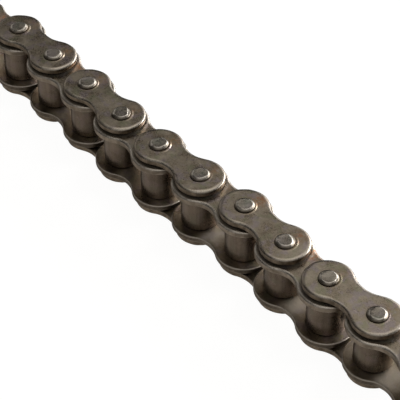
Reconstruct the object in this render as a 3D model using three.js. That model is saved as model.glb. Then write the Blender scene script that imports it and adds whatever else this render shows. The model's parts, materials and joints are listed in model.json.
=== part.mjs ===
// Roller chain strand: 11 pitches of riveted single-row transmission chain.
//
// A strand is made of roller links and pin links in turn. A roller link is two
// inner plates pressed on two bushes, with a loose roller round each bush. A
// pin link is two outer plates pressed on two pins, and each pin runs inside a
// bush of the neighbouring roller link, so the strand bends at every pin. The
// strand starts and ends with a roller link, the state in which it is joined
// into a loop by one connecting link.
//
// Units are millimetres. The strand lies on its side: pins and rollers stand
// along Z, the strand runs along X, and the origin is the centre of the strand's
// overall box. The strand lies slightly wavy, as a loose chain does when it is
// laid down.

import * as THREE from 'three';

// ---- chain dimensions -----------------------------------------------------
const PITCH = 19.05;              // joint centre to joint centre
const LINKS = 11;                 // even links are roller links, odd are pin links
const INNER_WIDTH = 13.30;        // clear width between the inner plates
const INNER_PLATE_T = 2.05;       // inner plate thickness
const OUTER_PLATE_T = 2.05;       // outer plate thickness
const LINK_GAP = 0.70;            // inner plate to outer plate, each side
const INNER_END_R = 9.00;         // inner plate end radius
const INNER_WAIST = 6.05;         // inner plate half height at its waist
const OUTER_END_R = 7.80;         // outer plate end radius
const OUTER_WAIST = 4.95;         // outer plate half height at its waist
const ROLLER_R = 5.955;           // roller outside radius
const ROLLER_PLAY = 0.125;        // roller side play, each side
const ROLLER_CHAMFER = 0.45;
const BUSH_R = 4.20;              // bush outside radius
const BUSH_PROUD = 0.06;          // bush end stands this far out of the inner plate
const PIN_R = 2.98;               // pin radius
const PIN_HALF = 12.42;           // half the length over the riveted ends
const HEAD_R = 3.12;              // riveted end, spread over the plate
const HEAD_TOP_R = 2.50;          // flat on the riveted end
const HEAD_CHAMFER = 0.45;

// ---- fits (radial clearance) ----------------------------------------------
const PIN_RUN = 0.045;            // pin running in its bush
const ROLLER_RUN = 0.085;         // roller running on its bush
const PRESS_GAP = 0.020;          // drawn gap of each pressed joint

// ---- how the strand lies: heading of each link, degrees about +Z -----------
const HEADING = [9.7, -0.6, -2.6, -4.6, -1.8, 0.7, 2.75, -4.7, -3.0, 0.75, 3.35];

// ---- facet counts ----------------------------------------------------------
const ROUND = 20;                 // pins, bushes and their holes (multiple of 4)
const ROLLER_ROUND = 24;          // roller outside and bore (multiple of 4)
const END_SEGMENTS = 16;          // each plate end
const WAIST_SEGMENTS = 6;         // each plate waist

// A polygon of n sides whose flats touch a circle of radius r has this corner radius.
const around = (r, n) => r / Math.cos(Math.PI / n);

// ---- heights ---------------------------------------------------------------
const zInner0 = INNER_WIDTH / 2;
const zInner1 = zInner0 + INNER_PLATE_T;
const zOuter0 = zInner1 + LINK_GAP;
const zOuter1 = zOuter0 + OUTER_PLATE_T;
const zBush = zInner1 + BUSH_PROUD;
const zRoller = zInner0 - ROLLER_PLAY;

// ---- materials ---------------------------------------------------------------
const steel = (color, roughness) => () =>
  new THREE.MeshStandardMaterial({ color, roughness, metalness: 0.9 });
const plateSteel = steel(0x6b635b, 0.45);
const innerPlateSteel = steel(0x625a52, 0.48);
const pinSteel = steel(0x7a736b, 0.38);
const bushSteel = steel(0x5a534c, 0.42);
const rollerSteel = steel(0x4a413a, 0.36);

// ---- shapes --------------------------------------------------------------------
// Figure-of-eight link plate lying in XY, first hole at the origin and second at
// +PITCH. Each end is an arc round its hole, and a concave arc tangent to both
// ends forms the waist.
function plateShape(endR, waist, holeR) {
  const a = PITCH / 2;
  const q = (a * a + waist * waist - endR * endR) / (2 * (endR - waist));
  const th = Math.atan2(waist + q, a);
  const pts = [];
  const arc = (cx, cy, r, from, to, n) => {
    for (let i = 0; i < n; i++) {
      const t = from + ((to - from) * i) / n;
      pts.push(new THREE.Vector2(cx + r * Math.cos(t), cy + r * Math.sin(t)));
    }
  };
  arc(PITCH, 0, endR, -(Math.PI - th), Math.PI - th, END_SEGMENTS);
  arc(a, waist + q, q, -th, -(Math.PI - th), WAIST_SEGMENTS);
  arc(0, 0, endR, th, 2 * Math.PI - th, END_SEGMENTS);
  arc(a, -(waist + q), q, Math.PI - th, th, WAIST_SEGMENTS);
  const shape = new THREE.Shape(pts);
  for (const cx of [0, PITCH]) {
    const hole = [];
    for (let i = 0; i < ROUND; i++) {
      const t = (-2 * Math.PI * i) / ROUND;
      hole.push(new THREE.Vector2(cx + holeR * Math.cos(t), holeR * Math.sin(t)));
    }
    shape.holes.push(new THREE.Path(hole));
  }
  return shape;
}

function plateGeometry(endR, waist, holeR, thickness) {
  return new THREE.ExtrudeGeometry(plateShape(endR, waist, holeR), {
    depth: thickness,
    bevelEnabled: false,
    steps: 1,
  });
}

// A body turned about Z from (radius, height) pairs.
function turned(profile, n) {
  const g = new THREE.LatheGeometry(profile.map(([r, z]) => new THREE.Vector2(r, z)), n);
  g.rotateX(Math.PI / 2);
  return g;
}

// Riveted pin: a plain shank through bushes and outer plates, and at each end a
// head spread a little wider than the shank, chamfered to a flat.
function pinGeometry() {
  const under = zOuter1 + PRESS_GAP;
  const half = [
    [PIN_R, under],
    [HEAD_R, under + 0.16],
    [HEAD_R, PIN_HALF - HEAD_CHAMFER],
    [HEAD_TOP_R, PIN_HALF],
    [0, PIN_HALF],
  ];
  const lower = half.map(([r, z]) => [r, -z]).reverse();
  return turned([...lower, ...half], ROUND);
}

// Bush: a plain sleeve. Its bore leaves the pin running clearance.
function bushGeometry() {
  const bore = around(PIN_R + PIN_RUN, ROUND);
  return turned([[bore, -zBush], [BUSH_R, -zBush], [BUSH_R, zBush], [bore, zBush], [bore, -zBush]], ROUND);
}

// Roller: a short sleeve with chamfered rims, free to turn on its bush.
function rollerGeometry() {
  const bore = around(BUSH_R + ROLLER_RUN, ROLLER_ROUND);
  const c = ROLLER_CHAMFER;
  return turned([
    [bore, -zRoller],
    [ROLLER_R - c, -zRoller],
    [ROLLER_R, -zRoller + c],
    [ROLLER_R, zRoller - c],
    [ROLLER_R - c, zRoller],
    [bore, zRoller],
    [bore, -zRoller],
  ], ROLLER_ROUND);
}

// ---- joint centres along the strand --------------------------------------------
const joint = [[0, 0]];
for (let k = 0; k < LINKS; k++) {
  const h = THREE.MathUtils.degToRad(HEADING[k]);
  const [x, y] = joint[k];
  joint.push([x + PITCH * Math.cos(h), y + PITCH * Math.sin(h)]);
}

// ---- assembly -------------------------------------------------------------------
const group = new THREE.Group();
const two = (n) => String(n).padStart(2, '0');
const add = (parent, name, geometry, material, x, z) => {
  const mesh = new THREE.Mesh(geometry, material());
  mesh.name = name;
  mesh.position.set(x, 0, z);
  parent.add(mesh);
};

for (let k = 0; k < LINKS; k++) {
  const link = new THREE.Group();
  link.position.set(joint[k][0], joint[k][1], 0);
  link.rotation.z = THREE.MathUtils.degToRad(HEADING[k]);
  group.add(link);

  if (k % 2 === 0) {
    const n = k / 2 + 1;
    const plate = () => plateGeometry(INNER_END_R, INNER_WAIST, BUSH_R + PRESS_GAP, INNER_PLATE_T);
    add(link, `inner_plate_${two(n)}_upper`, plate(), innerPlateSteel, 0, zInner0);
    add(link, `inner_plate_${two(n)}_lower`, plate(), innerPlateSteel, 0, -zInner1);
    for (let e = 0; e < 2; e++) {
      add(link, `bush_${two(2 * n - 1 + e)}`, bushGeometry(), bushSteel, e * PITCH, 0);
      add(link, `roller_${two(2 * n - 1 + e)}`, rollerGeometry(), rollerSteel, e * PITCH, 0);
    }
  } else {
    const n = (k + 1) / 2;
    const plate = () => plateGeometry(OUTER_END_R, OUTER_WAIST, PIN_R + PRESS_GAP, OUTER_PLATE_T);
    add(link, `outer_plate_${two(n)}_upper`, plate(), plateSteel, 0, zOuter0);
    add(link, `outer_plate_${two(n)}_lower`, plate(), plateSteel, 0, -zOuter1);
    for (let e = 0; e < 2; e++) {
      add(link, `pin_${two(2 * n - 1 + e)}`, pinGeometry(), pinSteel, e * PITCH, 0);
    }
  }
}

// The origin is the centre of the strand's overall box.
const box = new THREE.Box3().setFromObject(group, true);
group.position.copy(box.getCenter(new THREE.Vector3()).negate());

export default group;
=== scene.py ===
import json
import math

import bpy
import numpy as np
from mathutils import Matrix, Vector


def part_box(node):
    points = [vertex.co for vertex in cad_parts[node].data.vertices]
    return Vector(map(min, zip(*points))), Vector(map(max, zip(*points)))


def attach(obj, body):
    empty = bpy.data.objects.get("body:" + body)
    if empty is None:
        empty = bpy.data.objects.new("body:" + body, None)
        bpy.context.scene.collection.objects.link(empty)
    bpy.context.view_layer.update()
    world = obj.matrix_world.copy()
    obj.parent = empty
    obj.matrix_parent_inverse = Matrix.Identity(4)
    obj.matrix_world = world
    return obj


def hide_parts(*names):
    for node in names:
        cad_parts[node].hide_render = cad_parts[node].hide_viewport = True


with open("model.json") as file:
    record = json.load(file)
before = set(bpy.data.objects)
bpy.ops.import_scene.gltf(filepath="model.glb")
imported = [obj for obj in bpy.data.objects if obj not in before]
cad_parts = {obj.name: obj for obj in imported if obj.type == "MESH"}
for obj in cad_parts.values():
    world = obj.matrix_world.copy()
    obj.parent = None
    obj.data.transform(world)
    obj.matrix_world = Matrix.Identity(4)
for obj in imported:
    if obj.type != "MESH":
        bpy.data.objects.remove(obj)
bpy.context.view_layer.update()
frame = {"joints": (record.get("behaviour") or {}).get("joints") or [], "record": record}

# ---------------------------------------------------------------- the frame
# Joint centres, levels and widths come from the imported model; millimetres are used below.
record = frame["record"]
spins = {j["name"]: j["pos_m"] for j in frame["joints"] if j["name"].startswith("roller_spin_")}
JOINTS = [np.array(spins["roller_spin_%02d" % (i + 1)][:2]) * 1000.0 for i in range(12)]
PITCH = float(np.linalg.norm(JOINTS[6] - JOINTS[5]))


def level(node, corner):
    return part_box(node)[corner][2] * 1000.0


IN_LO, IN_HI = level("inner_plate_03_upper", 0), level("inner_plate_03_upper", 1)
OUT_LO, OUT_HI = level("outer_plate_03_upper", 0), level("outer_plate_03_upper", 1)
PIN_TOP = level("pin_05", 1)
BUSH_TOP = level("bush_05", 1)
ROLLER_TOP = level("roller_05", 1)
ROLLER_R = 5.955
BUSH_R = 4.20
PIN_R = 2.98
INNER_END_R, INNER_WAIST = 9.00, 6.05
OUTER_END_R, OUTER_WAIST = 7.80, 4.95


# ---------------------------------------------------------------- seeded value noise
def lattice(ix, iy, iz, seed):
    n = (ix * 374761393 + iy * 668265263 + iz * 2147483647 + seed * 1274126177) & 0xFFFFFFFF
    n = ((n ^ (n >> 13)) * 1274126177) & 0xFFFFFFFF
    n = (n ^ (n >> 16)) & 0xFFFFFFFF
    return n.astype(np.float64) / 4294967295.0 * 2.0 - 1.0


def noise(p, seed, size):
    """Smooth noise from -1 to 1 at points p (n x 3), with features of the given size."""
    q = np.asarray(p, float) / size + 1000.0
    i = np.floor(q).astype(np.int64)
    f = q - i
    f = f * f * f * (f * (f * 6 - 15) + 10)
    out = 0.0
    for dx in (0, 1):
        for dy in (0, 1):
            for dz in (0, 1):
                w = (
                    (f[:, 0] if dx else 1 - f[:, 0])
                    * (f[:, 1] if dy else 1 - f[:, 1])
                    * (f[:, 2] if dz else 1 - f[:, 2])
                )
                out = out + w * lattice(i[:, 0] + dx, i[:, 1] + dy, i[:, 2] + dz, seed)
    return out


def smooth(x, a, b):
    t = np.clip((x - a) / (b - a), 0, 1)
    return t * t * (3 - 2 * t)


# ---------------------------------------------------------------- mesh building
class Solid:
    """Vertices in rings, joined by strips of quads. All in millimetres until made."""

    def __init__(self):
        self.v, self.f, self.n = [], [], 0
        self.tags = {"wall": [], "rim": [], "out": []}

    def ring(self, pts, wall=0.0, rim=0.0, out=0.0):
        pts = np.asarray(pts, float)
        at = np.arange(self.n, self.n + len(pts))
        self.v.append(pts)
        self.n += len(pts)
        for k, x in (("wall", wall), ("rim", rim), ("out", out)):
            self.tags[k].append(np.broadcast_to(np.asarray(x, float), (len(pts),)).copy())
        return at

    def strip(self, a, b, closed=True):
        n = len(a)
        for i in range(n if closed else n - 1):
            j = (i + 1) % n
            self.f.append((int(a[i]), int(a[j]), int(b[j]), int(b[i])))

    def fan(self, centre, a, flip=False):
        n = len(a)
        for i in range(n):
            j = (i + 1) % n
            tri = (int(centre), int(a[i]), int(a[j]))
            self.f.append(tri[::-1] if flip else tri)

    def points(self):
        return np.concatenate(self.v)


def make(name, co, faces, tags, material, node, body, mirror=False):
    mesh = bpy.data.meshes.new(name)
    if mirror:
        faces = [f[::-1] for f in faces]
    mesh.from_pydata((co * 0.001).tolist(), [], faces)
    for key, values in tags.items():
        a = mesh.attributes.new(key, "FLOAT", "POINT")
        a.data.foreach_set("value", np.asarray(values, np.float32))
    mesh.polygons.foreach_set("use_smooth", [True] * len(mesh.polygons))
    mesh.update()
    mesh.validate()
    mesh.materials.append(material)
    ob = bpy.data.objects.new(name, mesh)
    bpy.context.scene.collection.objects.link(ob)
    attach(ob, body)
    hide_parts(node)
    return ob


# how much of a lip each riveting left round its pin, and how stained the plate is beside it
LIP = [0.95, 1.0, 1.0, 0.9, 1.0, 0.35, 1.0, 0.75, 0.45, 0.65]
STAIN = [0.55, 0.55, 0.6, 0.45, 0.9, 0.45, 1.0, 0.95, 0.35, 0.4]


# rust at the neck of each inner plate, the burr raised there with its painted highlight, a patch of painted bounce
# light and a patch of painted shade on the lower plates, by the number of its first joint
NECK = {0: 0.9, 2: 0.8, 4: 0.15, 6: 0.3, 8: 1.0, 10: 0.9}
BURR = {0: 0.4, 2: 0.7, 4: 1.0, 6: 0.7, 8: 0.8, 10: 0.5}
BOUNCE_PATCH = {0: 0.15, 2: 0.10, 4: 0.0, 6: 0.45, 8: 0.50, 10: 0.55}
SHADE_PATCH = {0: 0.0, 2: 0.0, 4: 0.62, 6: 0.0, 8: 0.0, 10: 0.0}


def plate(name, body, material, ja, jb, upper, inner, seed):
    """One figure-of-eight link plate: blanked outline, tumbled edges, pressed hole, slightly uneven faces."""
    A, B = JOINTS[ja], JOINTS[jb]
    e1 = (B - A) / np.linalg.norm(B - A)
    e2 = np.array([-e1[1], e1[0]])
    R, W = (INNER_END_R, INNER_WAIST) if inner else (OUTER_END_R, OUTER_WAIST)
    hole = BUSH_R + 0.015 if inner else PIN_R + 0.015
    zi, zo = (IN_LO, IN_HI) if inner else (OUT_LO, OUT_HI)
    a = PITCH / 2
    Q = (a * a + W * W - R * R) / (2 * (R - W))
    th = math.atan2(W + Q, a)

    # half outline, from the middle of the waist round the end and back, counter-clockwise
    nW, nE, nM = 11, 58, 9
    beta = np.linspace(0, math.pi / 2 - th, nW + 1)[:-1]
    phi = np.linspace(th, 2 * math.pi - th, nE + 1)
    up = np.stack([np.sin(beta), np.cos(beta)], 1)
    end = np.stack([np.cos(phi), np.sin(phi)], 1)
    normal = np.concatenate([up, end, (up * [1, -1])[::-1]])
    base = np.concatenate([
        np.array([a, W + Q]) - Q * up,
        R * end,
        (np.array([a, W + Q]) - Q * up)[::-1] * [1, -1],
    ])
    M = len(base) - 1
    flip = np.array([-1.0, 1.0])
    full = np.concatenate([base, (base * flip + [PITCH, 0])[::-1][1:-1]])
    fulln = np.concatenate([normal, (normal * flip)[::-1][1:-1]])
    at3 = np.concatenate([full, np.zeros((len(full), 1))], 1)
    wob = 0.030 * noise(at3, seed, 5.5) + 0.012 * noise(at3, seed + 1, 2.1)
    soft = 1 + 0.22 * noise(at3, seed + 2, 4.5) + 0.12 * noise(at3, seed + 3, 1.7)

    def loop(d, z):
        p = full - fulln * (np.asarray(d)[..., None] + 0.02 + wob[:, None])
        return np.concatenate([p, np.full((len(p), 1), 0.0) + np.reshape(z, (-1, 1))], 1)

    s = Solid()
    rd, rz = (1.15, 0.52) if not inner else (1.00, 0.50)
    bd, bz = 0.40, 0.36
    K = 7
    rings = []
    for k in range(5, -1, -1):  # inner-face rounding, from the face out to the wall
        al = math.pi / 2 * k / 5
        d = bd * (1 - math.cos(al)) * soft
        z = zi + bz * soft * (1 - math.sin(al))
        # rim tags a painted highlight on this rounding, stronger on the lower plates, whose inner face looks up
        rings.append(s.ring(loop(d, z), wall=math.cos(al) ** 0.5, rim=(0.6 if upper else 1.0) * math.sin(2 * al), out=0.0))
    bottom = rings[0]
    for t in (0.2, 0.4, 0.6, 0.8):
        z = (zi + bz * soft) * (1 - t) + (zo - rz * soft) * t
        rings.append(s.ring(loop(np.zeros(len(full)), z), wall=1.0, rim=0.0, out=t))
    for k in range(K + 1):
        al = math.pi / 2 * k / K
        d = rd * (1 - math.cos(al)) * soft
        z = zo - rz * soft * (1 - math.sin(al))
        # rim tags a painted highlight on the top rounding
        rings.append(s.ring(loop(d, z), wall=math.cos(al) ** 1.5, rim=math.sin(2 * al) ** 0.8 if 0 < k < K else 0.0, out=1.0))
    top = rings[-1]
    for lo, hi in zip(rings[:-1], rings[1:]):
        s.strip(lo, hi)

    def face(boundary, z, radii, blends, out, flipped):
        co = np.concatenate(s.v)
        ym = np.linspace(co[boundary[M]][1], co[boundary[0]][1], nM + 2)[1:-1]
        xm = np.linspace(co[boundary[M]][0], co[boundary[0]][0], nM + 2)[1:-1]
        mid = s.ring(np.stack([xm, ym, np.full(nM, z)], 1), out=out)
        co = np.concatenate(s.v)
        for side in (0, 1):
            centre = np.array([0.0, 0.0]) if side == 0 else np.array([PITCH, 0.0])
            if side == 0:
                loop_ids = np.concatenate([boundary[: M + 1], mid])
            else:
                loop_ids = np.concatenate([boundary[M:], boundary[:1], mid[::-1]])
            edge = co[loop_ids][:, :2] - centre
            ang = np.arctan2(edge[:, 1], edge[:, 0])
            u = np.stack([np.cos(ang), np.sin(ang)], 1)
            prev = None
            for r, dz in radii:
                p = centre + r * u
                now = s.ring(np.concatenate([p, np.full((len(p), 1), z + dz)], 1), out=out)
                if prev is None:
                    holes[(side, flipped)] = now
                else:
                    s.strip(prev, now) if flipped else s.strip(now, prev)
                prev = now
            last = radii[-1][0]
            for t in blends:
                p = centre + (1 - t) * last * u + t * edge
                now = s.ring(np.concatenate([p, np.full((len(p), 1), z)], 1), out=out)
                s.strip(prev, now) if flipped else s.strip(now, prev)
                prev = now
            s.strip(prev, loop_ids) if flipped else s.strip(loop_ids, prev)

    holes = {}
    if inner:
        rad_top = [(hole, -0.16), (hole + 0.06, -0.06), (hole + 0.16, 0.0), (4.55, 0), (4.8, 0), (5.2, 0), (5.8, 0), (6.5, 0)]
        rad_bot = [(hole, 0.12), (hole + 0.12, 0.0), (4.8, 0), (5.6, 0), (6.6, 0)]
        bl_top, bl_bot = (0.18, 0.34, 0.48, 0.60, 0.71, 0.81, 0.90, 0.96), (0.45, 0.88)
    else:
        rad_top = [(hole, -0.14), (3.06, -0.07), (3.14, -0.02), (3.24, 0), (3.34, 0), (3.45, 0), (3.55, 0), (3.64, 0), (3.72, 0), (3.80, 0),
                   (3.88, 0), (3.96, 0), (4.04, 0), (4.12, 0), (4.22, 0), (4.36, 0), (4.6, 0), (5.0, 0), (5.5, 0)]
        rad_bot = [(hole, 0.10), (hole + 0.10, 0.0), (3.8, 0), (4.8, 0), (5.8, 0)]
        bl_top, bl_bot = (0.3, 0.6, 0.88), (0.45, 0.85)
    face(top, zo, rad_top, bl_top, 1.0, False)
    face(bottom, zi, rad_bot, bl_bot, 0.0, True)
    for side in (0, 1):
        # both loops run the same way round the hole
        hi, lo = holes[(side, False)], holes[(side, True)]
        s.strip(hi, lo)

    co = s.points()
    tags = {k: np.concatenate(v) for k, v in s.tags.items()}
    t = np.clip((co[:, 2] - zi) / (zo - zi), 0, 1)
    x, y = co[:, 0], co[:, 1]
    flat = np.stack([x, y, np.zeros(len(x))], 1)
    rA, rB = np.hypot(x, y), np.hypot(x - PITCH, y)
    near = np.minimum(rA, rB)
    dz = 0.020 * noise(flat, seed + 5, 6.5) + 0.010 * noise(flat, seed + 6, 2.6) + 0.004 * noise(flat, seed + 7, 1.1)
    # each end is very slightly crowned by the blanking
    dz = dz - 0.02 * (np.clip(near, 0, 8.5) / 7.5) ** 2 * smooth(near, 8.9, 7.0)
    dzb = 0.012 * noise(flat, seed + 8, 5.0)
    edge_top = smooth(near, hole + 0.02, hole + 0.4)
    stain, grime, matte, dull = (np.zeros(len(x)) for _ in range(4))
    world = A + x[:, None] * e1 + y[:, None] * e2
    if not inner:
        for joint, r, cx in ((ja, rA, 0.0), (jb, rB, PITCH)):
            lip = LIP[joint - 1] if upper else 0.55 + 0.4 * ((joint * 7) % 5) / 5
            rel = world - JOINTS[joint]
            ang = np.arctan2(rel[:, 1], rel[:, 0])
            ring3 = np.stack([3 * np.cos(ang), 3 * np.sin(ang), np.full(len(x), joint * 9.0)], 1)
            vary = 0.8 + 0.30 * noise(ring3, seed + 11, 2.0)
            swing = np.angle(np.exp(1j * (ang - math.radians(40 + 9 * math.sin(joint * 2.3)))))
            vary = vary * (0.06 + 0.94 * np.exp(-(swing / 0.55) ** 2))
            # a lip of plate metal squeezed up by the riveting: gentle inside, steep outside
            shift = 0.06 * noise(ring3, seed + 12, 2.4)
            q = r - (3.50 + 0.14 * math.sin(joint * 1.7) + shift)
            ridge = np.where(q < 0, np.exp(-(q / 0.24) ** 2), np.clip(1 - q / 0.43, 0, 1))
            dz = dz + 0.32 * lip * vary * ridge * smooth(r, 3.02, 3.25)
            amount = STAIN[joint - 1] if upper else 0.5
            c = JOINTS[joint] + 4.9 * np.array([math.cos(math.radians(72)), math.sin(math.radians(72))])
            d = np.hypot(world[:, 0] - c[0], world[:, 1] - c[1])
            wisp = 1.15 + 0.6 * noise(np.concatenate([world, np.zeros((len(x), 1))], 1), seed + 14, 1.6)
            stain = np.maximum(stain, amount * np.exp(-(d / 2.3) ** 2) * wisp)
            stain = np.maximum(stain, 0.5 * amount * np.exp(-((r - 3.45) / 0.35) ** 2) * (0.5 + 0.5 * np.cos(ang - 1.2)))
            # the painted rim highlight fades on the edge turned away from the window light
            tags["rim"] = tags["rim"] * (1 - 0.85 * np.clip(np.cos(ang - math.radians(215)), 0, 1) ** 1.5 * smooth(r, 8.6, 8.0))
    else:
        # rust bleeding out from under the next plate at the neck, and a burr raised where that plate rubs, which
        # carries a painted highlight
        at = JOINTS[ja] + 8.7 * np.array([math.cos(math.radians(31)), math.sin(math.radians(31))])
        d = np.hypot(world[:, 0] - at[0], world[:, 1] - at[1])
        wisp = 1 + 0.5 * noise(np.concatenate([world, np.zeros((len(x), 1))], 1), seed + 14, 1.3)
        amount = NECK[ja] if upper else 0.35
        stain = np.maximum(stain, 1.25 * amount * np.exp(-(d / 2.4) ** 2) * wisp)
        if upper:
            # painted shade on the inner plate against the edge of the outer plate above it, heaviest on the left, kept
            # off rims and walls
            patchy = 0.85 + 0.3 * noise(np.concatenate([world, np.zeros((len(x), 1))], 1), seed + 15, 2.4)
            rel = world - np.where((rA < rB)[:, None], JOINTS[ja], JOINTS[jb])
            left = np.clip(np.cos(np.arctan2(rel[:, 1], rel[:, 0]) - math.radians(222)), 0, 1) ** 0.7
            clean = 1 - np.clip((1 - left) * tags["rim"] + tags["wall"] ** (1 + left), 0, 1)
            grime = smooth(near, 8.45 + 0.35 * left, 7.70 + 0.55 * left) * patchy * clean * (0.55 + 0.45 * left)
        else:
            # painted bounce light: a pale, less metallic patch across the waist of the lower plate
            u, w = x - (PITCH / 2 - 1.0), y + 2.4
            matte = BOUNCE_PATCH[ja] * np.exp(-(np.abs(u) / 3.4) ** 3) * np.exp(-(np.abs(w) / 4.0) ** 4)
            # painted shade where the plate meets the foot of the roller, a wider patch of painted shade across one
            # waist, and walls painted darker than the upper plates'
            dull = 0.60 * np.exp(-((x - PITCH / 2 + 5.8) / 2.2) ** 2) * (1 - tags["wall"])
            dull = np.maximum(dull, SHADE_PATCH[ja] * np.exp(-(np.abs(u - 1.2) / 4.2) ** 4) * np.exp(-(np.abs(w) / 4.0) ** 4) * (1 - tags["wall"]))
            dull = np.maximum(dull, 0.80 * tags["wall"] * (1 - tags["rim"]))
            # painted highlight: a pale band along the rim of the inner face
            matte = np.maximum(matte, 0.42 * tags["rim"] * (tags["out"] < 0.1))
        rel = world - JOINTS[ja]
        swing = np.degrees(np.arctan2(rel[:, 1], rel[:, 0])) - 31
        q = rA - 8.12
        ridge = np.where(q < 0, np.exp(-(q / 0.30) ** 2), np.clip(1 - q / 0.50, 0, 1))
        if upper:
            # painted highlight on the burr, which also lifts the painted shade there
            burr_highlight = BURR[ja] * np.exp(-(swing / 15) ** 2) * np.exp(-((rA - 8.35) / 0.5) ** 2)
            grime = grime * (1 - burr_highlight)
            tags["rim"] = np.maximum(tags["rim"], 0.8 * burr_highlight)
        dz = dz + (0.32 * BURR[ja] if upper else 0.05) * ridge * np.exp(-(swing / 13) ** 2)
    co[:, 2] += t * dz * np.where(tags["out"] > 0.5, edge_top, 1.0) + (1 - t) * dzb * (tags["out"] < 0.5)
    tags["stain"] = np.clip(stain, 0, 1)
    tags["grime"] = np.clip(grime, 0, 1)
    tags["matte"] = np.clip(matte, 0, 1)
    tags["dull"] = np.clip(dull, 0, 1)
    co = np.concatenate([A + co[:, :1] * e1 + co[:, 1:2] * e2, co[:, 2:]], 1)
    if not upper:
        co[:, 2] *= -1
    return make("steel_" + name, co, s.f, tags, material, name, body, mirror=not upper)


def lathe(name, body, material, centre, profile, segments, bend=None, extra=None):
    """Turned piece. profile: (r, z, painted rim highlight) from the bottom up the outside; closes on the axis or back
    on itself.
    """
    s = Solid()
    ang = np.linspace(0, 2 * math.pi, segments, endpoint=False)
    u = np.stack([np.cos(ang), np.sin(ang)], 1)
    rings = []
    for r, z, rim in profile:
        if r <= 1e-9:
            rings.append(s.ring([[0, 0, z]], rim=rim))
        else:
            rings.append(s.ring(np.concatenate([r * u, np.full((segments, 1), z)], 1), rim=rim))
    for a, b in zip(rings[:-1], rings[1:]):
        if len(a) == 1:
            s.fan(a[0], b, flip=True)
        elif len(b) == 1:
            s.fan(b[0], a)
        else:
            s.strip(a, b)
    if len(rings[0]) > 1:
        s.strip(rings[-1], rings[0])
    co = s.points()
    if bend is not None:
        co = bend(co)
    tags = {k: np.concatenate(v) for k, v in s.tags.items()}
    tags.update(extra(co) if extra else {})
    co = co + np.array([centre[0], centre[1], 0.0])
    return make("steel_" + name, co, s.f, tags, material, name, body)


def pin(name, body, joint):
    top = PIN_TOP
    head, flat_r = 3.12, 2.36
    # the third value tags a painted highlight round the edge of the head
    up = [(PIN_R, OUT_HI - 0.12, 0.0), (3.00, OUT_HI - 0.02, 0.0), (3.06, OUT_HI + 0.08, 0.0), (3.10, OUT_HI + 0.16, 0.0),
          (head, top - 0.72, 0.0), (3.10, top - 0.64, 0.0), (3.05, top - 0.56, 0.0), (2.98, top - 0.49, 0.0), (2.88, top - 0.415, 0.0), (2.78, top - 0.335, 0.05),
          (2.68, top - 0.255, 0.15), (2.58, top - 0.175, 0.4), (2.50, top - 0.118, 0.8), (2.43, top - 0.075, 1.0)]
    up += [(flat_r, top - 0.05, 0.9), (flat_r - 0.25, top - 0.045, 0.1), (1.9, top - 0.06, 0.0), (1.45, top - 0.075, 0.0), (0.95, top - 0.085, 0.0), (0.45, top - 0.09, 0.0), (0.0, top - 0.09, 0.0)]
    down = [(r, -z, t) for r, z, t in up[::-1]]
    profile = down + [(PIN_R, -4.0, 0.0), (PIN_R, 4.0, 0.0)] + up

    def bend(co):
        z = co[:, 2]
        r = np.hypot(co[:, 0], co[:, 1])
        ang = np.arctan2(co[:, 1], co[:, 0])
        out = co.copy()
        for sign in (1, -1):
            seed = joint * 17 + (0 if sign > 0 else 7)
            here = smooth(z * sign, OUT_HI - 0.02, OUT_HI + 0.25)
            crown = smooth(z * sign, top - 0.52, top - 0.06)
            rng = np.random.RandomState(seed)
            ph = rng.uniform(0, 2 * math.pi, 8)
            swell = 0.030 * np.cos(2 * ang + ph[0]) + 0.024 * np.cos(3 * ang + ph[1]) + 0.015 * np.cos(5 * ang + ph[2])
            out[:, :2] *= 1 + (here * (0.45 + 0.55 * crown) * (swell - 0.016))[:, None]
            # the punch leaves one or two soft flats on the rolled edge
            for k in range(2):
                centre = ph[3 + k]
                gap = np.angle(np.exp(1j * (ang - centre)))
                flat = np.exp(-(gap / 0.42) ** 2) * crown * smooth(r, 1.6, 2.6)
                out[:, 2] -= sign * flat * rng.uniform(0.06, 0.15)
                out[:, :2] *= 1 - (flat * rng.uniform(0.03, 0.08))[:, None]
            tilt = rng.uniform(0.006, 0.018)
            out[:, 2] -= sign * crown * (tilt * r * (1 + np.cos(ang - ph[5])))
            p3 = np.stack([co[:, 0], co[:, 1], np.full(len(r), seed * 3.7)], 1)
            out[:, 2] -= sign * crown * (0.030 * (1 + noise(p3, seed, 1.5)) + 0.010 * (1 + noise(p3, seed + 3, 0.6))) * smooth(2.9 - r, 0.0, 0.5)
        return out

    def extra(co):
        r = np.hypot(co[:, 0], co[:, 1])
        # the wall tag paints shade on the head's shoulder and the pin's side
        return {"cap": smooth(np.abs(co[:, 2]), OUT_HI + 0.4, top - 0.2), "wall": smooth(r, 2.52, 2.80)}

    return lathe(name, body, STEEL_PIN, JOINTS[joint], profile, 80, bend, extra)


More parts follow.
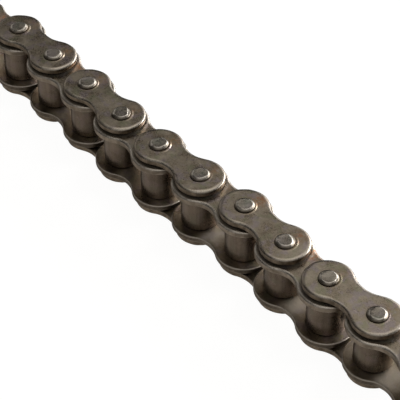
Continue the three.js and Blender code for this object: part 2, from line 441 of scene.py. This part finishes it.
def roller(name, body, joint):
    c = 0.46
    h = ROLLER_TOP
    bore = BUSH_R + 0.09
    up = []
    # the third value tags a painted highlight along the chamfers
    for k in range(0, 7):
        al = math.pi / 2 * k / 6
        up.append((ROLLER_R - c + c * math.cos(al), h - c + c * math.sin(al), math.sin(2 * al)))
    up += [(5.2, h, 0.0), (4.8, h, 0.0), (bore + 0.2, h, 0.0), (bore + 0.06, h - 0.06, 0.3), (bore, h - 0.2, 0.0)]
    down = [(r, -z, t) for r, z, t in up[::-1]]
    wall = [(ROLLER_R, z, 0.0) for z in np.linspace(-h + c, h - c, 9)[1:-1]]
    inside = [(bore, z, 0.0) for z in (3.0, 0.0, -3.0)]
    profile = down + wall + up + inside

    def bend(co):
        r = np.hypot(co[:, 0], co[:, 1])
        p3 = co * [1.0, 1.0, 0.45] + [joint * 31.0, 0, 0]
        push = smooth(r, 5.3, 5.9) * (0.010 * noise(p3, 50 + joint, 3.2) - 0.010)
        out = co.copy()
        out[:, :2] *= (1 + push / np.maximum(r, 1))[:, None]
        return out

    return lathe(name, body, STEEL_ROLLER, JOINTS[joint], profile, 112, bend)


def bush(name, body, joint):
    h = BUSH_TOP
    ri = PIN_R + 0.045
    ends = []
    # the third value tags a painted highlight along the chamfers
    for k in range(0, 5):
        al = math.pi / 2 * k / 4
        ends.append((BUSH_R - 0.30 + 0.30 * math.cos(al), h - 0.30 + 0.30 * math.sin(al), math.sin(2 * al)))
    ends += [(3.6, h, 0.0), (ri + 0.16, h, 0.0), (ri + 0.05, h - 0.05, 0.4), (ri, h - 0.17, 0.0)]
    down = [(r, -z, t) for r, z, t in ends[::-1]]
    profile = down + [(BUSH_R, -3.0, 0.0), (BUSH_R, 3.0, 0.0)] + ends + [(ri, 3.0, 0.0), (ri, -3.0, 0.0)]

    def bend(co):
        out = co.copy()
        r = np.hypot(co[:, 0], co[:, 1])
        ang = np.arctan2(co[:, 1], co[:, 0])
        out[:, 2] -= np.sign(co[:, 2]) * smooth(np.abs(co[:, 2]), h - 0.2, h) * 0.02 * (1 + np.cos(2 * ang + joint))
        return out

    return lathe(name, body, STEEL_BUSH, JOINTS[joint], profile, 72, bend)


# ---------------------------------------------------------------- materials
class Nodes:
    def __init__(self, tree):
        self.t = tree
        tree.nodes.clear()

    def add(self, kind, props=None, **inputs):
        n = self.t.nodes.new(kind)
        for k, v in (props or {}).items():
            setattr(n, k, v)
        for k, v in inputs.items():
            self.put(n.inputs[int(k[1:])] if k[0] == "_" and k[1:].isdigit() else n.inputs[k.replace("_", " ")], v)
        return n

    def put(self, socket, value):
        if isinstance(value, bpy.types.NodeSocket):
            self.t.links.new(value, socket)
        elif isinstance(value, bpy.types.Node):
            self.t.links.new(value.outputs[0], socket)
        else:
            socket.default_value = value

    def math(self, op, a, b=0.0, clamp=False):
        n = self.add("ShaderNodeMath", {"operation": op, "use_clamp": clamp}, _0=a, _1=b)
        return n.outputs[0]

    def mix(self, fac, a, b, mode="MIX"):
        n = self.add("ShaderNodeMix", {"data_type": "RGBA", "blend_type": mode, "clamp_factor": True})
        self.put(n.inputs[0], fac)
        self.put(n.inputs[6], a)
        self.put(n.inputs[7], b)
        return n.outputs[2]

    def noise(self, vec, scale, detail=2.0, rough=0.5, distort=0.0):
        n = self.add("ShaderNodeTexNoise", {"noise_dimensions": "3D"}, Vector=vec, Scale=scale, Detail=detail, Roughness=rough, Distortion=distort)
        return n.outputs[0]

    def span(self, v, a, b, lo=0.0, hi=1.0, kind="SMOOTHSTEP"):
        n = self.add("ShaderNodeMapRange", {"interpolation_type": kind, "clamp": True}, Value=v)
        for i, x in enumerate((a, b, lo, hi)):
            self.put(n.inputs[i + 1], x)
        return n.outputs[0]

    def attr(self, name):
        return self.add("ShaderNodeAttribute", {"attribute_type": "GEOMETRY", "attribute_name": name}).outputs[2]

    def mm(self, turn=(0, 0, 0), size=(1, 1, 1)):
        """Object coordinates in millimetres: a pattern stays with its piece when the piece moves."""
        c = self.add("ShaderNodeTexCoord").outputs["Object"]
        m = self.add("ShaderNodeMapping", {"vector_type": "POINT"}, Vector=c)
        m.inputs["Rotation"].default_value = turn
        m.inputs["Scale"].default_value = tuple(1000.0 * x for x in size)
        return m.outputs[0]


def c4(r, g, b):
    return (r, g, b, 1.0)


def tint3(n, v):
    return n.add("ShaderNodeCombineColor", None, _0=v, _1=v, _2=v).outputs[0]


def steel(name, dark, light, green, purple, rough=(0.30, 0.46), wall=None, rust=None, rim_highlight=None, grain=1.0, metallic=1.0, nicks=1.0, streaks=0.0, painted_shade_and_bounce=False, wall_rough=0.06, bumps=True):
    mat = bpy.data.materials.new(name)
    mat.use_nodes = True
    n = Nodes(mat.node_tree)
    p = n.mm()
    cloud = n.noise(p, 0.16, 4.0, 0.55, 0.4)
    patch = n.noise(n.mm((0.3, 0.2, 0.5)), 0.28, 3.0, 0.5)
    patch2 = n.noise(n.mm((1.1, 0.4, 0.9)), 0.33, 3.0, 0.5)
    speck = n.noise(p, 1.9, 4.0, 0.65)
    fine = n.noise(p, 6.5, 3.0, 0.6)
    col = n.mix(n.span(cloud, 0.32, 0.68), c4(*dark), c4(*light))
    col = n.mix(n.span(patch, 0.50, 0.66, 0.0, 0.75), col, c4(*green))
    col = n.mix(n.span(patch2, 0.50, 0.64, 0.0, 0.75), col, c4(*purple))
    # fine pitting and rubbed spots
    tone = n.math("ADD", n.math("MULTIPLY", n.math("SUBTRACT", speck, 0.5), 0.75 * grain), n.math("MULTIPLY", n.math("SUBTRACT", fine, 0.5), 0.55 * grain))
    tone = n.math("ADD", tone, 1.0)
    col = n.mix(1.0, col, n.add("ShaderNodeCombineColor", None, _0=tone, _1=tone, _2=tone).outputs[0], "MULTIPLY")
    # hairline scratches in two directions
    scratch = 0.0
    for turn, stretch in (((0, 0, 0.55), (0.10, 3.2, 0.4)), ((0, 0, -0.9), (0.13, 4.0, 0.5))):
        line = n.noise(n.mm(turn, stretch), 1.0, 2.0, 0.5)
        line = n.span(line, 0.64, 0.72)
        scratch = n.math("MAXIMUM", scratch, line) if not isinstance(scratch, float) else line
    scratch = n.math("MULTIPLY", scratch, n.span(speck, 0.40, 0.60))
    col = n.mix(n.math("MULTIPLY", scratch, 0.30), col, c4(*(min(1.0, 1.7 * x) for x in light)))
    # a few small nicks rubbed bright
    cells = n.add("ShaderNodeTexVoronoi", {"feature": "F1"}, Vector=p, Scale=0.42, Randomness=1.0)
    pick = n.add("ShaderNodeSeparateColor", None, _0=cells.outputs["Color"])
    nick = n.math("MULTIPLY", n.span(cells.outputs["Distance"], 0.11, 0.04), n.span(pick.outputs[0], 0.86, 0.90))
    nick = n.math("MULTIPLY", nick, n.span(fine, 0.35, 0.55))
    col = n.mix(n.math("MULTIPLY", nick, 0.8 * nicks), col, c4(*(min(1.0, 2.2 * x) for x in light)))
    if streaks:
        band = n.noise(n.mm((0, 0, 0), (0.9, 0.9, 0.05)), 1.0, 3.0, 0.6)
        col = n.mix(1.0, col, tint3(n, n.span(band, 0.30, 0.70, 1.0 - streaks, 1.0 + streaks, "LINEAR")), "MULTIPLY")
    rough_v = n.math("ADD", n.span(cloud, 0.3, 0.7, rough[0], rough[1], "LINEAR"), n.math("MULTIPLY", n.math("SUBTRACT", speck, 0.5), 0.30))
    metal = metallic
    if wall is not None:
        # painted shade and light: side walls and pin-head shoulders take a wall colour of their own
        w = n.attr("wall")
        streak = n.noise(n.mm((0, 0, 0), (0.55, 0.55, 0.45)), 1.0, 4.0, 0.55)
        wcol = n.mix(n.span(streak, 0.30, 0.72), c4(*wall[0]), c4(*wall[1]))
        col = n.mix(n.math("MULTIPLY", w, 0.92), col, wcol)
        rough_v = n.math("ADD", rough_v, n.math("MULTIPLY", w, wall_rough))
    if rim_highlight is not None:
        # painted highlight: the rim tag lightens the rounded edges
        rim = n.math("MULTIPLY", n.attr("rim"), n.span(speck, 0.15, 0.60))
        col = n.mix(n.math("MULTIPLY", rim, 0.75), col, c4(*rim_highlight))
        rough_v = n.math("SUBTRACT", rough_v, n.math("MULTIPLY", rim, 0.05))
    if rust is not None:
        st = n.math("MULTIPLY", n.attr("stain"), n.span(n.noise(p, 0.9, 4.0, 0.65, 0.6), 0.34, 0.60))
        col = n.mix(n.math("MULTIPLY", st, 0.85), col, c4(*rust))
        rough_v = n.math("ADD", rough_v, n.math("MULTIPLY", st, 0.12))
        metal = n.math("SUBTRACT", metallic, n.math("MULTIPLY", st, 0.35))
    # painted shade and painted bounce light on the inner plates
    if painted_shade_and_bounce:
        # painted shade: a dark, rougher band on the inner plates beside the outer plates' edges
        grime = n.math("MULTIPLY", n.attr("grime"), n.span(speck, 0.25, 0.55, 0.75, 1.0))
        col = n.mix(n.math("MULTIPLY", grime, 0.72), col, c4(0.100, 0.082, 0.062))
        metal = n.math("MULTIPLY", metal, n.math("SUBTRACT", 1.0, n.math("MULTIPLY", grime, 0.6)))
        rough_v = n.math("ADD", rough_v, n.math("MULTIPLY", grime, 0.22))
        # painted shade: a dark colour at the foot of the rollers, across one waist and on the lower plates' walls
        col = n.mix(n.math("MULTIPLY", n.attr("dull"), n.span(speck, 0.2, 0.6, 0.65, 0.85)), col, c4(0.060, 0.049, 0.037))
        # painted bounce light: a pale, less metallic patch on the lower plates, and a pale band along their inner-face
        # rim as painted highlight
        matte = n.math("MULTIPLY", n.attr("matte"), n.span(n.noise(p, 0.5, 4.0, 0.6), 0.25, 0.50, 0.7, 1.0))
        col = n.mix(n.math("MULTIPLY", matte, 0.9), col, c4(0.60, 0.535, 0.44))
        rough_v = n.math("ADD", rough_v, n.math("MULTIPLY", matte, 0.20))
        metal = n.math("MULTIPLY", metal, n.math("SUBTRACT", 1.0, n.math("MULTIPLY", matte, 0.75)))
    bump = n.add("ShaderNodeBump", None, Strength=0.55, Distance=0.000030, Height=n.math("ADD", n.math("MULTIPLY", speck, 0.8), n.math("MULTIPLY", fine, 0.35)))
    bump2 = n.add("ShaderNodeBump", None, Strength=0.5, Distance=0.000012, Height=n.math("SUBTRACT", 1.0, scratch))
    n.put(bump2.inputs["Normal"], bump.outputs[0])
    if not bumps:
        rough_v = n.math("ADD", rough_v, 0.03)
    b = n.add("ShaderNodeBsdfPrincipled", None, Base_Color=col, Roughness=n.math("MINIMUM", n.math("MAXIMUM", rough_v, 0.16), 0.9), Metallic=metal)
    if bumps:
        n.put(b.inputs["Normal"], bump2.outputs[0])
    out = n.add("ShaderNodeOutputMaterial")
    n.put(out.inputs[0], b.outputs[0])
    return mat


# side walls are painted: darker than the faces on the outer plates as painted shade, reaching paler than the faces on
# the inner plates as painted light; rim colours are painted highlights
OUTER = dict(
    name="oiled_plate_steel_outer", dark=(0.30, 0.245, 0.180), light=(0.41, 0.350, 0.270), green=(0.305, 0.290, 0.195), purple=(0.365, 0.305, 0.300), rough=(0.25, 0.38),
    wall=((0.13, 0.104, 0.076), (0.33, 0.270, 0.205)), rust=(0.27, 0.118, 0.045), rim_highlight=(0.52, 0.47, 0.405), wall_rough=0.0)
INNER = dict(
    name="oiled_plate_steel_inner", dark=(0.30, 0.245, 0.185), light=(0.40, 0.345, 0.270), green=(0.31, 0.290, 0.205), purple=(0.355, 0.300, 0.290), rough=(0.25, 0.38),
    wall=((0.25, 0.208, 0.162), (0.50, 0.430, 0.350)), rust=(0.40, 0.180, 0.080), rim_highlight=(0.78, 0.715, 0.635), painted_shade_and_bounce=True)
STEEL_OUTER, STEEL_INNER = steel(**OUTER), steel(**INNER)
# the lower plates' finish has no fine bump, so that the surface maps' room goes to what shows most
OUTER["name"] += "_lower"
INNER["name"] += "_lower"
LOWER_OUTER, LOWER_INNER = steel(**OUTER, bumps=False), steel(**INNER, bumps=False)
# its wall colour paints shade on the head's shoulder, its rim colour a highlight round the head
STEEL_PIN = steel(
    "riveted_pin_steel", (0.30, 0.262, 0.215), (0.40, 0.360, 0.300), (0.31, 0.305, 0.250), (0.37, 0.325, 0.305), rough=(0.24, 0.36),
    wall=((0.14, 0.118, 0.092), (0.24, 0.205, 0.165)), rim_highlight=(0.66, 0.61, 0.545), grain=0.9)
STEEL_ROLLER = steel(
    "dark_roller_steel", (0.20, 0.160, 0.125), (0.30, 0.245, 0.195), (0.24, 0.215, 0.165), (0.27, 0.215, 0.190), rough=(0.26, 0.36),
    rim_highlight=(0.42, 0.37, 0.32), grain=0.5, nicks=0.4, streaks=0.16)
STEEL_BUSH = steel(
    "bush_steel", (0.30, 0.265, 0.220), (0.44, 0.395, 0.335), (0.34, 0.325, 0.27), (0.38, 0.335, 0.31), rough=(0.24, 0.38),
    rim_highlight=(0.58, 0.53, 0.47), grain=0.7)

# ---------------------------------------------------------------- the pieces
for i in range(1, 7):
    ja = 2 * (i - 1)
    body = "inner_link_%02d" % i
    for upper in (True, False):
        node = "inner_plate_%02d_%s" % (i, "upper" if upper else "lower")
        plate(node, body, STEEL_INNER if upper else LOWER_INNER, ja, ja + 1, upper, True, 1000 + 20 * i + (0 if upper else 500))
    for k in (0, 1):
        bush("bush_%02d" % (ja + k + 1), body, ja + k)
for i in range(1, 6):
    ja = 2 * i - 1
    body = "outer_link_%02d" % i
    for upper in (True, False):
        node = "outer_plate_%02d_%s" % (i, "upper" if upper else "lower")
        plate(node, body, STEEL_OUTER if upper else LOWER_OUTER, ja, ja + 1, upper, False, 3000 + 20 * i + (0 if upper else 500))
    for k in (0, 1):
        pin("pin_%02d" % (ja + k), body, ja + k)
for i in range(12):
    roller("roller_%02d" % (i + 1), "roller_body_%02d" % (i + 1), i)

# ---------------------------------------------------------------- floor
floor_z = -PIN_TOP - 0.02
side = np.linspace(-4000, 4000, 21)
gx, gy = np.meshgrid(side, side)
fco = np.stack([gx.ravel(), gy.ravel(), np.full(gx.size, floor_z)], 1) * 0.001
ffaces = [(r * 21 + c, r * 21 + c + 1, (r + 1) * 21 + c + 1, (r + 1) * 21 + c) for r in range(20) for c in range(20)]
fmesh = bpy.data.meshes.new("studio_floor")
fmesh.from_pydata(fco.tolist(), [], ffaces)
fmat = bpy.data.materials.new("pale_floor")
fmat.use_nodes = True
n = Nodes(fmat.node_tree)
tone = n.span(n.noise(n.mm(), 0.004, 2.0), 0.3, 0.7, 0.985, 1.0)
lit = n.add("ShaderNodeBsdfDiffuse", None, Color=n.add("ShaderNodeCombineColor", None, _0=tone, _1=tone, _2=tone).outputs[0])
glow = n.add("ShaderNodeEmission", None, Color=c4(1.0, 0.998, 0.993), Strength=1.09)
both = n.add("ShaderNodeMixShader", None, _0=0.12)
n.put(both.inputs[1], glow.outputs[0])
n.put(both.inputs[2], lit.outputs[0])
out = n.add("ShaderNodeOutputMaterial")
n.put(out.inputs[0], both.outputs[0])
fmesh.materials.append(fmat)
floor = bpy.data.objects.new("studio_floor", fmesh)
bpy.context.scene.collection.objects.link(floor)
floor.visible_glossy = False

# ---------------------------------------------------------------- studio surroundings
world = bpy.data.worlds.new("studio")
bpy.context.scene.world = world
world.use_nodes = True
n = Nodes(world.node_tree)
d = n.add("ShaderNodeVectorMath", {"operation": "NORMALIZE"}, _0=n.add("ShaderNodeTexCoord").outputs["Generated"]).outputs[0]
z = n.add("ShaderNodeSeparateXYZ", None, _0=d).outputs[2]


def toward(x, y, zz):
    v = np.array([x, y, zz], float)
    v /= np.linalg.norm(v)
    return n.add("ShaderNodeVectorMath", {"operation": "DOT_PRODUCT"}, _0=d, _1=tuple(v)).outputs["Value"]


def deg(x):
    return math.cos(math.radians(x))


# broad overhead softbox, centred a little beyond the overhead point as the camera sees it
def away(x, y, zz):
    return n.math("ARCCOSINE", toward(x, y, zz))


def lobe(angle, outer, inner, value):
    return n.span(angle, math.radians(outer), math.radians(inner), 0.0, value)


over = lobe(away(-0.204, 0.352, 0.914), 29.8, 9, 0.95)
front = lobe(away(0.318, -0.279, 0.906), 45, 12, 0.45)
left_on = lobe(away(-0.918, 0.129, 0.375), 27, 9, 0.42)
warm = n.math("ADD", n.math("ADD", n.math("ADD", over, 0.055), front), left_on)
# strong soft window to the image's right, a little behind, with a weak skirt
side_on = away(0.20, 0.94, 0.26)
key = n.math("ADD", lobe(side_on, 30, 17, 7.0), lobe(side_on, 54, 26, 0.28))
key = n.math("ADD", key, lobe(away(-0.300, 0.922, 0.245), 24, 10, 1.5))
# what lies below the horizon: brown and lighter towards the image's left, dark towards its right
fall = n.span(toward(-0.434, -0.694, -0.574), -0.15, 1.0, 0.0, 1.0, "LINEAR")
low = n.math("ADD", n.math("MULTIPLY", n.math("POWER", fall, 1.3), 0.35), 0.03)
low = n.math("ADD", low, lobe(away(0.195, -0.171, -0.966), 32, 8, 0.22))
# a pale band round the horizon, missing where the photograph shows dark edges
band = n.math("MULTIPLY", n.span(n.math("ABSOLUTE", z), 0.48, 0.10, 0.0, 0.20), n.span(toward(-0.94, 0.342, 0.0), 0.15, 0.6, 1.0, 0.0))
low = n.math("ADD", low, band)
warm = n.math("ADD", warm, band)
down = n.span(z, -0.06, 0.03)
shade = n.span(away(-0.906, 0.032, -0.423), math.radians(8), math.radians(22), 0.30, 1.0)
shade = n.math("MULTIPLY", shade, n.span(away(0.53, 0.53, -0.66), math.radians(18), math.radians(42), 0.30, 1.0))


def tint(v, r, g, b):
    c = n.add("ShaderNodeCombineColor", None, _0=n.math("MULTIPLY", v, r), _1=n.math("MULTIPLY", v, g), _2=n.math("MULTIPLY", v, b))
    return c.outputs[0]


skyc = n.mix(1.0, tint(warm, 0.985, 0.964, 0.930), tint(key, 0.99, 0.988, 0.988), "ADD")
lowc = tint(low, 0.985, 0.915, 0.84)
around = n.mix(1.0, n.mix(down, lowc, skyc), tint(shade, 1.0, 1.0, 1.0), "MULTIPLY")
path = n.add("ShaderNodeLightPath")
shown = n.mix(path.outputs["Is Camera Ray"], around, c4(1.0, 0.998, 0.993))
bg = n.add("ShaderNodeBackground", None, Color=shown, Strength=1.0)
out = n.add("ShaderNodeOutputWorld")
n.put(out.inputs[0], bg.outputs[0])

# ---------------------------------------------------------------- camera, at the photograph's angle
AZ, EL, ROLL = math.radians(48.753), math.radians(43.422), math.radians(-0.412)
DIST, TX, TY, LENS = 523.494, 6.315, -4.099, 151.233
mid = (JOINTS[5] + JOINTS[6]) / 2
back = np.array([math.sin(AZ) * math.cos(EL), -math.cos(AZ) * math.cos(EL), math.sin(EL)])
right = np.cross(-back, [0, 0, 1.0])
right /= np.linalg.norm(right)
upv = np.cross(right, -back)
r = math.cos(ROLL) * right + math.sin(ROLL) * upv
u = -math.sin(ROLL) * right + math.cos(ROLL) * upv
loc = (np.array([mid[0], mid[1], 0.0]) + back * DIST + TX * r + TY * u) * 0.001
cam_data = bpy.data.cameras.new("camera")
cam_data.lens = LENS
cam_data.sensor_width = 36.0
cam_data.sensor_fit = "HORIZONTAL"
cam_data.clip_start, cam_data.clip_end = 0.01, 50.0
cam = bpy.data.objects.new("camera", cam_data)
bpy.context.scene.collection.objects.link(cam)
cam.matrix_world = Matrix([
    [r[0], u[0], back[0], loc[0]],
    [r[1], u[1], back[1], loc[1]],
    [r[2], u[2], back[2], loc[2]],
    [0, 0, 0, 1],
])
bpy.context.scene.camera = cam
bpy.context.scene.view_settings.view_transform = "Standard"
bpy.context.scene.view_settings.look = "None"
